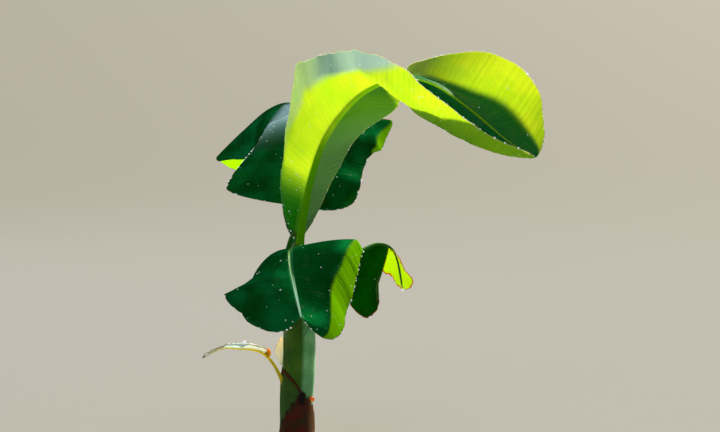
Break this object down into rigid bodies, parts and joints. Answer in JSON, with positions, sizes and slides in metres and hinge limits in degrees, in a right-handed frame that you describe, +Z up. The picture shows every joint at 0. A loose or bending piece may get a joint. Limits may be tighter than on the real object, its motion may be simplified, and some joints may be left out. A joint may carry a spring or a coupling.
{
  "type": "banana plant",
  "caption": "Young rooted banana plant: a tapered pseudostem in wrapped leaf sheaths, with broad arching, torn and withered leaves on tapering midribs.",
  "frame": {"origin": "middle of the flat cut under the pseudostem, at ground level", "axes": "+Z up out of the ground; the plant is first seen along +Y, with +X to its right"},
  "size_m": [0.6306, 0.663, 0.7549],
  "materials": {
    "pseudostem": "waxy, satin",
    "green_sheath": "satin with a brown papery edge",
    "dead_sheath": "dead, fibrous, damp",
    "young_leaf": "waxy and translucent, wet",
    "mature_leaf": "glossy above, waxy below, wet",
    "ageing_leaf": "satin, yellowing with a brown rim",
    "young_midrib": "smooth, satin",
    "mature_midrib": "smooth, satin, pale",
    "dry_stalk": "dry, ribbed",
    "dry_leaf": "papery, matt",
    "pale_bud": "smooth, satin",
    "red_bud": "smooth, satin"
  },
  "bodies": {
    "root": {"pseudostem": "pseudostem", "sheath_green": "green_sheath", "sheath_dead": "dead_sheath", "midrib_a_lower": "young_midrib", "midrib_a_upper": "young_midrib", "blade_a_left_lower": "young_leaf", "blade_a_right_lower": "young_leaf", "blade_a_left_upper": "young_leaf", "blade_a_right_upper": "young_leaf", "midrib_b_lower": "mature_midrib", "midrib_b_upper": "mature_midrib", "blade_b_left_lower": "mature_leaf", "blade_b_right_lower": "mature_leaf", "blade_b_left_upper": "mature_leaf", "blade_b_right_upper": "mature_leaf", "midrib_c": "mature_midrib", "blade_c_left": "mature_leaf", "blade_c_right": "mature_leaf", "midrib_d_lower": "mature_midrib", "midrib_d_upper": "mature_midrib", "blade_d_left_lower": "ageing_leaf", "blade_d_right_lower": "ageing_leaf", "blade_d_left_upper": "ageing_leaf", "blade_d_right_upper": "ageing_leaf", "midrib_e": "dry_stalk", "blade_e_left": "dry_leaf", "blade_e_right": "dry_leaf", "side_bud": "pale_bud", "red_bud": "red_bud", "stalk_bud": "red_bud"}
  },
  "joints": []
}
